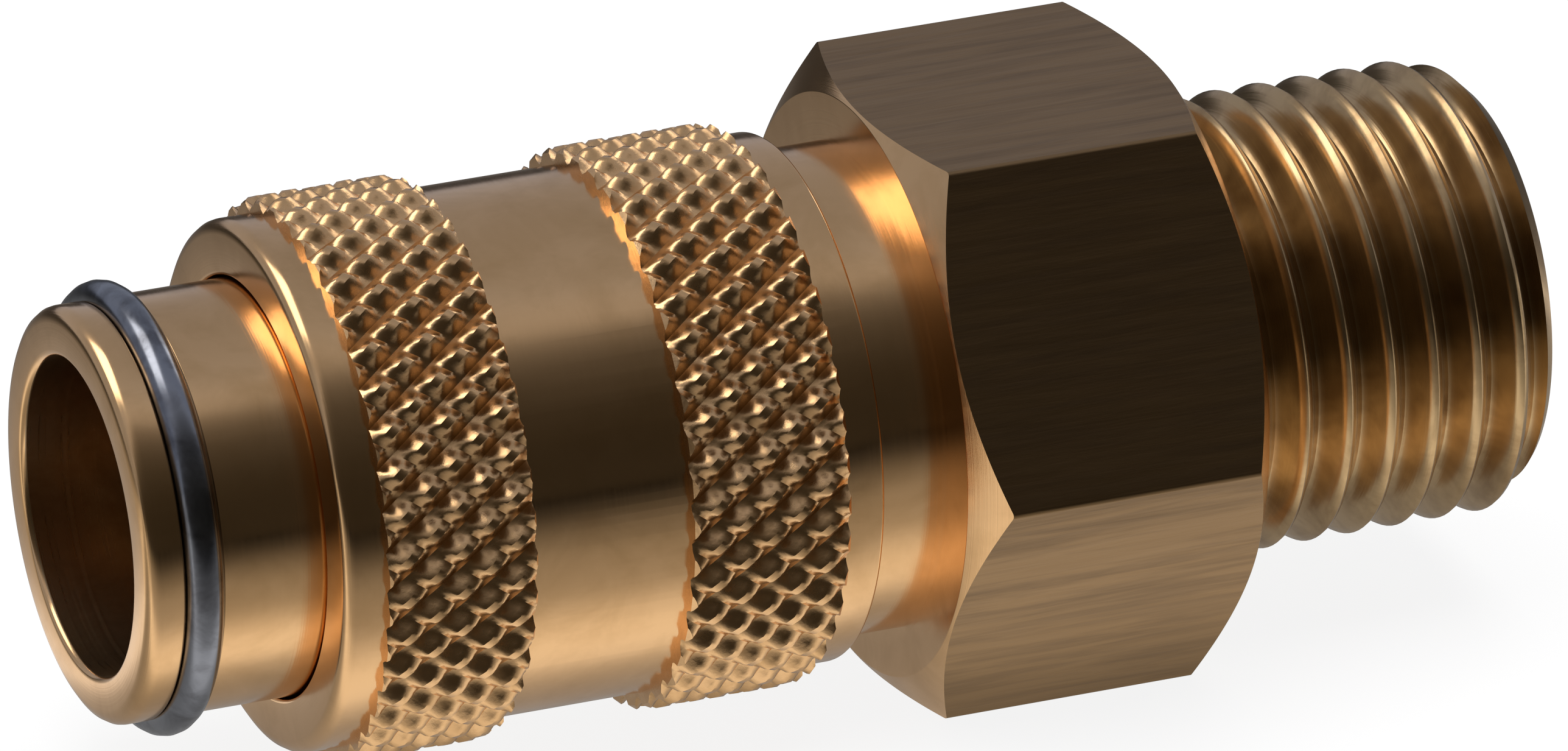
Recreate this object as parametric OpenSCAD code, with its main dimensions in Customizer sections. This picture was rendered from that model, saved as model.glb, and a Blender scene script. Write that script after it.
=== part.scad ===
// Quick coupling socket for a coolant line: a knurled sleeve locks a ring of
// balls, and a spring closes the valve when the plug is drawn out.
// Millimetres. The coupling lies on one flat of its hexagon, with its axis
// along X, the plug end towards -X and the threaded end towards +X.
// The radii and lengths below are measured from the axis and the nose face.

/* [Socket body] */
// Outer diameter of the nose tube that the sleeve slides on
tube_od = 11.9; // [11.6:0.05:12.2]
// Bore that takes the plug
plug_bore = 9.1; // [8.9:0.05:9.3]
// Depth of the plug bore from the nose face
plug_depth = 4.9; // [4.6:0.05:5]
// Bore that guides the valve piston
guide_bore = 8.6; // [8.45:0.05:8.65]
// Diameter of the neck behind the sleeve
neck_od = 14; // [13.8:0.05:14.1]
// Distance from the nose face to the front of the neck
neck_start = 17.3; // [17:0.05:17.4]
// Distance from the nose face to the hexagon
socket_len = 23.5; // [23:0.1:25]
// Chamfer on the outer edge of the nose
nose_chamfer = 0.45; // [0.2:0.05:0.6]
// Chamfer at the mouth of the plug bore
mouth_chamfer = 0.2; // [0.1:0.05:0.4]

/* [Snap ring] */
// Wire diameter of the snap ring
ring_wire = 1.1; // [0.9:0.05:1.2]
// Distance from the nose face to the middle of the snap ring
ring_x = 1.65; // [1.5:0.05:1.7]
// How far the wire sits below the surface of the tube
ring_sunk = 0.59; // [0.4:0.01:0.7]
// Opening of the snap ring, as an angle
ring_gap_deg = 14; // [8:1:30]

/* [Locking sleeve] */
// Distance from the nose face to the sleeve, drawn back as it rests
sleeve_x = 5.2; // [5.15:0.05:5.3]
// Length of the sleeve
sleeve_len = 16.15; // [15.5:0.05:16.6]
// Diameter of the smooth collars at both ends
collar_od = 15.2; // [15.1:0.05:15.6]
// Diameter of the smooth band between the knurls
band_od = 15.1; // [15:0.05:15.2]
// Length of the front collar
front_collar_len = 1.2; // [1:0.05:1.3]
// Length of the rear collar
rear_collar_len = 1.15; // [0.8:0.05:1.5]
// Rounding of the outer edge of the front collar
collar_round = 0.4; // [0.2:0.05:0.5]
// Length of the sleeve's front lip, which rides on the nose tube
lip_len = 2.9; // [2.7:0.05:2.95]
// Length of the locking land behind the ball ramp
land_len = 0.9; // [0.6:0.05:1.2]
// How far the sleeve moves forwards when it locks
sleeve_travel = 2.9; // [2.5:0.05:2.92]

/* [Knurl] */
// Diameter over the tips of the knurl
knurl_od = 16.2; // [15.9:0.05:16.5]
// Depth of the knurl's grooves
knurl_depth = 0.45; // [0.3:0.05:0.5]
// Length of the front knurled band
front_knurl_len = 4.4; // [4:0.05:4.8]
// Length of the rear knurled band
rear_knurl_len = 4.7; // [4.4:0.05:5]
// Diamonds round the sleeve
knurl_count = 41; // [30:1:48]
// Axial half pitch of the diamonds
knurl_step = 0.82; // [0.7:0.02:1]
// Share of each diamond's width that its flat top takes
knurl_flat = 0.34; // [0.2:0.02:0.5]

/* [Locking balls] */
// Diameter of a locking ball
ball_d = 2.5; // [2.3:0.05:2.55]
// Distance from the nose face to the balls
ball_x = 9.4; // [9.35:0.05:9.45]
// Sleeve travel for each millimetre that a ball moves inwards
ball_ratio = 3.5; // [3.4:0.05:3.7]

/* [Valve] */
// Piston travel for each millimetre that the sleeve moves
valve_ratio = 1.5; // [1.3:0.05:1.55]
// Bore through the hollow front of the piston
piston_bore = 5.2; // [4.4:0.1:5.4]
// Distance from the nose face to the edge of the valve seat
seat_x = 16; // [15.9:0.05:16.1]
// Bore of the valve chamber
chamber_bore = 10.6; // [10.4:0.05:10.7]
// Distance from the nose face to the end of the valve chamber
chamber_end = 18.3; // [18.2:0.05:18.4]
// Diameter of the piston's head
head_od = 9.5; // [9.2:0.05:9.6]
// Thickness of the piston's head
head_len = 1.45; // [1.2:0.05:1.6]
// Diameter of the boss that centres the valve spring
boss_od = 7.5; // [6.8:0.1:7.6]
// Length of that boss
boss_len = 1; // [0.6:0.1:1.2]
// Diameter of the flow ports in the piston's wall
port_d = 2.6; // [2:0.1:2.8]
// Number of flow ports
port_count = 4; // [3:1:4]
// Distance from the nose face to the flow ports
port_x = 13.7; // [13.6:0.05:13.8]

/* [Seals] */
// Cord diameter of the plug seal
plug_seal_cord = 0.9; // [0.8:0.05:0.95]
// Distance from the nose face to the plug seal
plug_seal_x = 11.6; // [11.5:0.05:11.7]
// Cord diameter of the valve seal
valve_seal_cord = 0.9; // [0.8:0.05:0.95]
// Cord diameter of the seal between the two body parts
body_seal_cord = 0.76; // [0.7:0.01:0.78]

/* [Springs] */
// Wire diameter of the sleeve spring
sleeve_wire = 0.7; // [0.5:0.05:0.75]
// Turns of the sleeve spring
sleeve_turns = 4; // [3:0.25:4.5]
// Wire diameter of the valve spring
valve_wire = 0.6; // [0.5:0.05:0.65]
// Turns of the valve spring
valve_turns = 5.5; // [4:0.25:5.75]

/* [Hexagon and thread] */
// Width of the hexagon across its flats
hex_af = 17; // [16.5:0.1:19]
// Length of the hexagon
hex_len = 9.2; // [8:0.1:12]
// Axial length of the chamfer at both ends of the hexagon
hex_chamfer = 0.85; // [0.6:0.05:1.2]
// Major diameter of the G 1/4 thread
thread_od = 13.157; // [12.9:0.001:13.4]
// Length of the threaded end, from the hexagon to its end face
thread_len = 9.9; // [8:0.1:14]
// Chamfer at the end of the thread
thread_chamfer = 0.8; // [0.5:0.05:1]
// Flow bore through the threaded end
outlet_bore = 7; // [5:0.1:7.4]
// Bore inside the spigot of the adapter
spigot_bore = 10.3; // [10:0.05:10.4]
// Outer diameter of the spigot, which screws into the socket body
spigot_od = 12.3; // [12.1:0.05:12.5]
// Distance from the nose face to the seat of the valve spring
spring_seat_x = 26.5; // [26.3:0.1:27.5]

/* [Clearances] */
// Radial clearance of the sleeve on the nose tube and on the neck
slide_gap = 0.08; // [0.04:0.01:0.1]
// Radial clearance of the piston in its bore
piston_gap = 0.07; // [0.04:0.01:0.1]
// Clearance between a ball and what it rolls on
ball_gap = 0.03; // [0.02:0.01:0.05]
// Gap between a seal and its seat
seal_gap = 0.02; // [0.01:0.01:0.03]
// Clearance between the spigot and the socket body
joint_gap = 0.02; // [0.01:0.01:0.05]

/* [Hidden] */

// Round faces and the coils of the springs
round_fn = 96;
coil_fn = 20;
wire_sides = 8;

// Colours of the materials
brass = "#b98f4f";
steel = "#8d9096";
spring_steel = "#a9abae";
rubber = "#23211f";

// Radii of the socket body
tube_r = tube_od / 2;
plug_r = plug_bore / 2;
guide_r = guide_bore / 2;
neck_r = neck_od / 2;
chamber_r = chamber_bore / 2;
neck_chamfer = 0.3;

// Lengths of the whole coupling and of the adapter
hex_end = socket_len + hex_len;
total_len = hex_end + thread_len;
hex_corner_r = hex_af / sqrt(3);
hex_face_r = 0.99 * hex_af / 2;
thread_r = thread_od / 2;
outlet_r = outlet_bore / 2;
outlet_chamfer = 0.3;
spigot_r = spigot_od / 2;
spigot_x = chamber_end + body_seal_cord + 2 * seal_gap;
spigot_chamfer = 0.15;

// Snap ring and its groove
ring_r = tube_r - ring_sunk + ring_wire / 2 + 0.01;
ring_groove_r = tube_r - ring_sunk;
ring_groove_half = ring_wire / 2 + 0.02;
ring_gap_dir = 60;

// Locking balls and their holes
ball_count = 6;
ball_first_deg = 30;
ball_r = ball_d / 2;
ball_hole_gap = 0.05;
ball_keep = 0.03;
ball_taper = 0.8;
ball_taper_below = 0.3;

// The cone on the piston's nose stays tangent to the balls while both move,
// and its wide end holds them out at rest
valve_travel = sleeve_travel * valve_ratio;
piston_r = guide_r - piston_gap;
nose_slope = 1 / (ball_ratio * valve_ratio);
ball_out = piston_r + (ball_r + ball_gap) * sqrt(1 + nose_slope * nose_slope);
piston_x = ball_x - valve_travel;
nose_r = piston_r - valve_travel * nose_slope;
piston_bore_r = piston_bore / 2;
piston_bore_end = port_x + port_d / 2 + 0.2;

// The ramp inside the sleeve stays tangent to the balls in the same way
lip_r = tube_r + slide_gap;
rear_bore_r = neck_r + slide_gap;
ramp_slope = 1 / ball_ratio;
recess_r = ball_out + (ball_r + ball_gap) * sqrt(1 + ramp_slope * ramp_slope);
lip_end = sleeve_x + lip_len;
ramp_end = ball_x + (recess_r - lip_r) / ramp_slope;
spring_x = ramp_end + land_len;
sleeve_end = sleeve_x + sleeve_len;
band_r = band_od / 2;
collar_r = collar_od / 2;
edge_break = 0.15;

// Knurled bands, from their front to their rear
knurl_r = knurl_od / 2;
knurl_root_r = knurl_r - knurl_depth;
knurl_inner_r = band_r - 0.25;
knurl_bury = 0.2;
front_knurl_x = sleeve_x + front_collar_len;
rear_knurl_x = sleeve_end - rear_collar_len - rear_knurl_len;

// Valve seal, pressed on a seat of 45 degrees, and the head behind it
seat_end = seat_x + chamber_r - guide_r;
valve_seal_r = guide_r - 0.3;
valve_seal_x = seat_x - 0.3 + (valve_seal_cord / 2 + seal_gap) * sqrt(2);
valve_groove_r = valve_seal_r - valve_seal_cord / 2 - seal_gap;
valve_groove_half = valve_seal_cord / 2 + seal_gap;
head_x = valve_seal_x + valve_groove_half;
head_r = head_od / 2;
head_end = head_x + head_len;
boss_r = boss_od / 2;

// Seals
plug_seal_r = piston_r + seal_gap + plug_seal_cord / 2;
plug_groove_r = plug_seal_r + plug_seal_cord / 2 + seal_gap;
plug_groove_half = plug_seal_cord / 2 + 0.1;
body_seal_r = chamber_r + 0.04 + body_seal_cord / 2;
body_seal_x = chamber_end + seal_gap + body_seal_cord / 2;

// Springs
spring_gap = 0.03;
sleeve_spring_r = (tube_r + rear_bore_r) / 2;
valve_spring_r = boss_r + valve_wire / 2 + 0.12;

// Stands the coupling on a flat of the hexagon, with the origin below its middle
module in_place() {
    translate([-total_len / 2, 0, hex_af / 2]) rotate([0, 90, 0]) children();
}

// Turns an outline of [distance from the nose, radius] points about the axis
module turned(outline) {
    rotate_extrude($fn = round_fn) polygon([for (p = outline) [p[1], p[0]]]);
}

// Round cord, closed to a ring
module cord_ring(x, ring_radius, cord) {
    translate([0, 0, x]) rotate_extrude($fn = round_fn)
        translate([ring_radius, 0]) circle(d = cord, $fn = 32);
}

// Repeats its children evenly round the axis
module around(count, first_deg) {
    for (i = [0:count - 1]) rotate([0, 0, first_deg + i * 360 / count]) children();
}

// Tapered radial hole that a ball can't fall through
module ball_hole() {
    translate([0, 0, ball_x]) rotate([0, 90, 0]) rotate_extrude($fn = round_fn) polygon([
        [0, guide_r - 1],
        [ball_r - ball_keep, guide_r - 1],
        [ball_r - ball_keep, guide_r - ball_taper_below],
        [ball_r + ball_hole_gap, guide_r + ball_taper],
        [ball_r + ball_hole_gap, tube_r + 1],
        [0, tube_r + 1]
    ]);
}

// Nose tube, neck and valve seat, turned from one bar
module socket_body() {
    color(brass) in_place() difference() {
        turned([
            [0, plug_r + mouth_chamfer],
            [0, tube_r - nose_chamfer],
            [nose_chamfer, tube_r],
            [ring_x - ring_groove_half, tube_r],
            [ring_x - ring_groove_half, ring_groove_r],
            [ring_x + ring_groove_half, ring_groove_r],
            [ring_x + ring_groove_half, tube_r],
            [neck_start, tube_r],
            [neck_start, neck_r - neck_chamfer],
            [neck_start + neck_chamfer, neck_r],
            [socket_len, neck_r],
            [socket_len, spigot_r + joint_gap],
            [chamber_end, spigot_r + joint_gap],
            [chamber_end, chamber_r],
            [seat_end, chamber_r],
            [seat_x, guide_r],
            [plug_seal_x + plug_groove_half, guide_r],
            [plug_seal_x + plug_groove_half, plug_groove_r],
            [plug_seal_x - plug_groove_half, plug_groove_r],
            [plug_seal_x - plug_groove_half, guide_r],
            [plug_depth, guide_r],
            [plug_depth, plug_r],
            [mouth_chamfer, plug_r]
        ]);
        around(ball_count, ball_first_deg) ball_hole();
    }
}

// Hexagonal prism with a turned chamfer at both ends
module hexagon() {
    chamfer_slope = (hex_corner_r - hex_face_r) / hex_chamfer;
    over = 0.5;
    intersection() {
        translate([0, 0, socket_len]) rotate([0, 0, 30])
            cylinder(r = hex_corner_r, h = hex_len, $fn = 6);
        turned([
            [socket_len, 0],
            [socket_len, hex_face_r],
            [socket_len + hex_chamfer + over / chamfer_slope, hex_corner_r + over],
            [hex_end - hex_chamfer - over / chamfer_slope, hex_corner_r + over],
            [hex_end, hex_face_r],
            [hex_end, 0]
        ]);
    }
}

// Hexagon and male thread, with a spigot that closes the valve chamber
module adapter_body() {
    color(brass) in_place() difference() {
        union() {
            hexagon();
            turned([
                [spigot_x, 0],
                [spigot_x, spigot_r - spigot_chamfer],
                [spigot_x + spigot_chamfer, spigot_r],
                [socket_len + 1, spigot_r],
                [socket_len + 1, 0]
            ]);
            turned([
                [hex_end - 1, 0],
                [hex_end - 1, thread_r],
                [total_len - thread_chamfer, thread_r],
                [total_len, thread_r - thread_chamfer],
                [total_len, 0]
            ]);
        }
        turned([
            [spigot_x - 1, 0],
            [spigot_x - 1, spigot_bore / 2],
            [spring_seat_x, spigot_bore / 2],
            [spring_seat_x, outlet_r],
            [total_len - outlet_chamfer, outlet_r],
            [total_len, outlet_r + outlet_chamfer],
            [total_len + 1, outlet_r + outlet_chamfer],
            [total_len + 1, 0]
        ]);
    }
}

// Open wire ring that stops the sleeve at the nose
module snap_ring() {
    color(steel) in_place() translate([0, 0, ring_x])
        rotate([0, 0, ring_gap_dir + ring_gap_deg / 2])
        rotate_extrude(angle = 360 - ring_gap_deg, $fn = round_fn)
        translate([ring_r, 0]) circle(d = ring_wire, $fn = 32);
}

// Point on the knurl: axial place, angle in knurl spacings, radius
function knurl_point(x, turn, r) =
    [r * cos(turn * 360 / knurl_count), r * sin(turn * 360 / knurl_count), x];

// Ring of diamond knurl: crossing grooves leave rows of flat-topped pyramids.
// Columns of groove crossings stand half a diamond apart along the axis, and
// every other column is turned by half a diamond. The two end rows are cut off.
module knurl_ring(start, length) {
    n = knurl_count;
    steps = floor(length / knurl_step) - 1;
    last = steps + 2;
    end_step = (length - steps * knurl_step) / 2;
    column = concat(
        [start],
        [for (j = [0:steps]) start + end_step + j * knurl_step],
        [start + length]
    );
    crossings = [
        for (j = [0:last]) for (i = [0:n - 1])
            knurl_point(column[j], i + (j % 2) / 2, knurl_root_r)
    ];
    tops = [
        for (j = [1:last - 1]) for (i = [0:n - 1])
            let (mid = i + 0.5 + (j % 2) / 2, side = knurl_flat / 2)
            for (p = [
                [column[j] - knurl_flat * (column[j] - column[j - 1]), mid],
                [column[j], mid - side],
                [column[j] + knurl_flat * (column[j + 1] - column[j]), mid],
                [column[j], mid + side]
            ]) knurl_point(p[0], p[1], knurl_r)
    ];
    end_r = knurl_root_r + 0.5 * knurl_depth;
    end_tops = [
        for (j = [0, last]) for (i = [0:n - 1])
            knurl_point(column[j] + (j == 0 ? 0.45 : -0.45) * end_step, i + 0.5 + (j % 2) / 2, end_r)
    ];
    inner = [
        for (j = [0, last]) for (i = [0:n - 1])
            knurl_point(column[j], i + (j % 2) / 2, knurl_inner_r)
    ];
    top_base = len(crossings);
    end_base = top_base + len(tops);
    inner_base = end_base + len(end_tops);
    function crossing(j, i) = j * n + (i + n) % n;
    function top(j, i, k) = top_base + 4 * ((j - 1) * n + i) + k % 4;
    diamonds = [
        for (j = [1:last - 1]) for (i = [0:n - 1])
            let (corner = [
                crossing(j - 1, i + j % 2), crossing(j, i), crossing(j + 1, i + j % 2), crossing(j, i + 1)
            ])
            for (f = concat(
                [for (k = [0:3]) [corner[k], corner[(k + 1) % 4], top(j, i, k)]],
                [for (k = [0:3]) [top(j, i, k), corner[(k + 1) % 4], top(j, i, k + 1)]],
                [[top(j, i, 0), top(j, i, 1), top(j, i, 2)], [top(j, i, 0), top(j, i, 2), top(j, i, 3)]]
            )) f
    ];
    front_cut = [
        for (i = [0:n - 1])
            let (tip = end_base + i, a = crossing(0, i), b = crossing(0, i + 1), c = crossing(1, i))
            for (f = [[a, c, tip], [c, b, tip], [a, tip, b]]) f
    ];
    rear_cut = [
        for (i = [0:n - 1])
            let (
                tip = end_base + n + i, a = crossing(last, i), b = crossing(last, i + 1),
                c = crossing(last - 1, i + last % 2)
            )
            for (f = [[a, tip, c], [c, tip, b], [a, b, tip]]) f
    ];
    walls = [
        for (i = [0:n - 1])
            let (
                a = inner_base + i, b = inner_base + (i + 1) % n, c = a + n, d = b + n,
                e = crossing(0, i), f = crossing(0, i + 1), g = crossing(last, i), h = crossing(last, i + 1)
            )
            for (q = [[a, e, b], [e, f, b], [c, d, g], [d, h, g], [a, b, c], [b, d, c]]) q
    ];
    polyhedron(
        concat(crossings, tops, end_tops, inner),
        concat(diamonds, front_cut, rear_cut, walls)
    );
}

// Sleeve with two knurled bands. Inside it are the lip, the ball recess with
// its ramp, the locking land and the chamber of the sleeve spring.
module locking_sleeve() {
    color(brass) in_place() {
        turned(concat(
            [[sleeve_x, lip_r + edge_break]],
            [for (a = [0:22.5:90]) [
                sleeve_x + collar_round * (1 - cos(a)),
                collar_r - collar_round * (1 - sin(a))
            ]],
            [
                [front_knurl_x + knurl_bury, collar_r],
                [front_knurl_x + knurl_bury, band_r],
                [sleeve_end - rear_collar_len - knurl_bury, band_r],
                [sleeve_end - rear_collar_len - knurl_bury, collar_r],
                [sleeve_end - edge_break, collar_r],
                [sleeve_end, collar_r - edge_break],
                [sleeve_end, rear_bore_r],
                [spring_x, rear_bore_r],
                [spring_x, lip_r],
                [ramp_end, lip_r],
                [ball_x, recess_r],
                [lip_end, recess_r],
                [lip_end, lip_r],
                [sleeve_x + edge_break, lip_r]
            ]
        ));
        knurl_ring(front_knurl_x, front_knurl_len);
        knurl_ring(rear_knurl_x, rear_knurl_len);
    }
}

// Steel ball in its hole, pushed outwards
module locking_ball(i) {
    color(steel) in_place() rotate([0, 0, ball_first_deg + (i - 1) * 360 / ball_count])
        translate([ball_out, 0, ball_x]) sphere(r = ball_r, $fn = 48);
}

// Axial place of a coil after t of its turns, with one close turn at each end
function coil_x(t, turns, length, wire) =
    let (close = 1.08 * wire, open = (length - wire - 2 * close) / (turns - 2))
    wire / 2 + (t < 1 ? t * close
        : t < turns - 1 ? close + (t - 1) * open
        : close + (turns - 2) * open + (t - turns + 1) * close);

// Compression spring: a round wire swept along a helix, from start to end
module coil_spring(start, end, coil_r, wire, turns) {
    rings = floor(turns * coil_fn);
    points = [
        for (s = [0:rings]) let (t = s * turns / rings, a = 360 * t)
            for (k = [0:wire_sides - 1]) let (
                b = 360 * k / wire_sides,
                r = coil_r + wire / 2 * cos(b)
            ) [r * cos(a), r * sin(a), start + coil_x(t, turns, end - start, wire) + wire / 2 * sin(b)]
    ];
    sides = [
        for (s = [0:rings - 1]) for (k = [0:wire_sides - 1])
            let (
                a = s * wire_sides + k, b = s * wire_sides + (k + 1) % wire_sides,
                c = a + wire_sides, d = b + wire_sides
            )
            for (f = [[a, b, c], [b, d, c]]) f
    ];
    polyhedron(points, concat(
        sides,
        [[for (k = [wire_sides - 1:-1:0]) k]],
        [[for (k = [0:wire_sides - 1]) rings * wire_sides + k]]
    ));
}

// Spring that drives the sleeve forwards
module sleeve_spring() {
    color(spring_steel) in_place()
        coil_spring(spring_x + spring_gap, neck_start - spring_gap, sleeve_spring_r, sleeve_wire, sleeve_turns);
}

// Spring that closes the valve
module valve_spring() {
    color(spring_steel) in_place()
        coil_spring(head_end + spring_gap, spring_seat_x - spring_gap, valve_spring_r, valve_wire, valve_turns);
}

// Hollow piston: its nose holds the balls out, its ports open behind the seat
module valve_piston() {
    color(brass) in_place() difference() {
        turned([
            [piston_x, piston_bore_r + edge_break],
            [piston_x, nose_r],
            [ball_x, piston_r],
            [valve_seal_x - valve_groove_half, piston_r],
            [valve_seal_x - valve_groove_half, valve_groove_r],
            [head_x, valve_groove_r],
            [head_x, head_r],
            [head_end - edge_break, head_r],
            [head_end, head_r - edge_break],
            [head_end, boss_r],
            [head_end + boss_len, boss_r],
            [head_end + boss_len, 0],
            [piston_bore_end, 0],
            [piston_bore_end, piston_bore_r],
            [piston_x + edge_break, piston_bore_r]
        ]);
        around(port_count, 45) translate([0, 0, port_x]) rotate([0, 90, 0])
            cylinder(d = port_d, h = piston_r + 1, $fn = round_fn);
    }
}

// O-ring on the piston
module valve_seal() {
    color(rubber) in_place() cord_ring(valve_seal_x, valve_seal_r, valve_seal_cord);
}

// O-ring that seals on the plug
module plug_seal() {
    color(rubber) in_place() cord_ring(plug_seal_x, plug_seal_r, plug_seal_cord);
}

// O-ring between the socket body and the adapter
module body_seal() {
    color(rubber) in_place() cord_ring(body_seal_x, body_seal_r, body_seal_cord);
}

socket_body();
adapter_body();
snap_ring();
locking_sleeve();
sleeve_spring();
locking_ball(1);  // locking_ball_1
locking_ball(2);  // locking_ball_2
locking_ball(3);  // locking_ball_3
locking_ball(4);  // locking_ball_4
locking_ball(5);  // locking_ball_5
locking_ball(6);  // locking_ball_6
valve_piston();
valve_seal();
valve_spring();
plug_seal();
body_seal();
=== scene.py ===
"""Finished pieces of a brass quick coupling socket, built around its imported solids."""

import math

import bmesh
import bpy
from mathutils import Matrix, Vector


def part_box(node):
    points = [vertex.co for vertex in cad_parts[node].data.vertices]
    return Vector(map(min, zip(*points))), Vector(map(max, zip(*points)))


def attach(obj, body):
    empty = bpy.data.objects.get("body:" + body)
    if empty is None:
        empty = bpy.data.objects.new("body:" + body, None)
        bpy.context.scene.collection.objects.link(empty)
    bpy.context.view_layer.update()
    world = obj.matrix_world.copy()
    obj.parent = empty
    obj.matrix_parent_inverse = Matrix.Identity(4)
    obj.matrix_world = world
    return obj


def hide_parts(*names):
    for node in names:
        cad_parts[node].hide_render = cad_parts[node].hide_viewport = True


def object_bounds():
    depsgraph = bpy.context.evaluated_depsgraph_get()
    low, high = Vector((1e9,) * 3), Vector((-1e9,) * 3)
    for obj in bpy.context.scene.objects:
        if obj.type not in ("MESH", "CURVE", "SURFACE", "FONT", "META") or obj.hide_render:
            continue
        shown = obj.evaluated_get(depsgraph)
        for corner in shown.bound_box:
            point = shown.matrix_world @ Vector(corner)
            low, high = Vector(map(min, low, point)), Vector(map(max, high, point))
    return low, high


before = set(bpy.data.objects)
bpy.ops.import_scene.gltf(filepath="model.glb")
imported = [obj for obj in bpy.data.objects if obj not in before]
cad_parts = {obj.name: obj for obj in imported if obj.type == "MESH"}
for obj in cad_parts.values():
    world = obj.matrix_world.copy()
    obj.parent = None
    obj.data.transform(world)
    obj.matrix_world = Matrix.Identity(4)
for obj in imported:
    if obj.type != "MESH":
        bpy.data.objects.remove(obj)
CAD_LOW, CAD_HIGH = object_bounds()

bl_info = {
    "name": "Brass Quick Coupling",
    "version": (1, 0, 0),
    "blender": (4, 5, 0),
    "location": "View3D > Sidebar > Coupling",
    "description": "Builds the turned, knurled and threaded pieces of a brass quick coupling",
    "category": "Add Mesh",
}

MM = 0.001
FACETS = 192
SHARP_ANGLE = math.radians(32)

# In millimetres: points closer than WELD become one, and trimming tools stand PAST what they trim
WELD = 0.002
PAST = 0.01

# The coupling's axis runs along X. Pieces are drawn in millimetres behind the
# nose face and from the axis, and PLACE sets them in the frame.
NOSE_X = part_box("socket_body")[0].x
AXIS_Z = sum(corner.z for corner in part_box("adapter_body")) / 2
PLACE = Matrix.Translation((NOSE_X, 0.0, AXIS_Z)) @ Matrix.Scale(MM, 4)


def span(node):
    """Front, rear and greatest radius of a CAD node, in millimetres."""
    low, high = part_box(node)
    return (low.x - NOSE_X) / MM, (high.x - NOSE_X) / MM, (high.y - low.y) / 2 / MM


def linear(code):
    """Linear colour of an sRGB hex code."""
    parts = [int(code[i : i + 2], 16) / 255 for i in (1, 3, 5)]
    return tuple(p / 12.92 if p <= 0.04045 else ((p + 0.055) / 1.055) ** 2.4 for p in parts)


def length(name, description, default):
    """Size of a piece, kept in metres and given here in millimetres."""
    return bpy.props.FloatProperty(
        name=name, description=description, default=default * MM, unit="LENGTH", precision=5
    )


def colour(name, description, code):
    """Colour of a finish."""
    return bpy.props.FloatVectorProperty(
        name=name, description=description, default=linear(code), subtype="COLOR", min=0, max=1
    )


class SleeveSizes(bpy.types.PropertyGroup):
    """Sizes of the locking sleeve"""

    front_collar: length("Front collar", "Length of the smooth collar at the front", 1.2)
    rear_collar: length("Rear collar", "Length of the smooth collar at the rear", 1.15)
    collar_r: length("Collar radius", "Radius of both collars", 7.6)
    collar_round: length("Collar rounding", "Rounding of the front collar's edge", 0.4)
    band_r: length("Band radius", "Radius of the smooth band between the knurls", 7.55)
    bore_r: length("Bore radius", "Radius of the bore that slides on the nose tube", 6.03)
    rear_bore_r: length("Rear bore radius", "Radius of the bore round the neck", 7.08)
    lip: length("Lip", "Length of the front lip inside", 2.9)
    recess_r: length("Recess radius", "Radius of the ball recess", 6.864)
    recess_x: length("Recess end", "Place of the recess's deep end", 9.4)
    spring_x: length("Spring chamber", "Front of the spring chamber", 13.22)
    front_knurl: length("Front knurl", "Length of the front knurled band", 4.4)
    rear_knurl: length("Rear knurl", "Length of the rear knurled band", 4.7)
    knurl_depth: length("Knurl depth", "Depth of the knurl's grooves", 0.45)
    knurl_step: length("Knurl step", "Axial half pitch of the diamonds", 0.82)
    knurl_count: bpy.props.IntProperty(
        name="Diamonds", description="Diamonds round the sleeve", default=41, min=12
    )
    knurl_flat: bpy.props.FloatProperty(
        name="Flat share", description="Share of each diamond that is flat", default=0.25,
        min=0.1, max=0.8, subtype="FACTOR",
    )
    knurl_cross: bpy.props.FloatProperty(
        name="Cross grooves", description="Depth of the second set of grooves beside the first",
        default=0.62, min=0, max=1, subtype="FACTOR",
    )
    knurl_wear: bpy.props.FloatProperty(
        name="Unevenness", description="How much the diamonds differ in height", default=0.16,
        min=0, max=0.5, subtype="FACTOR",
    )


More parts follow.
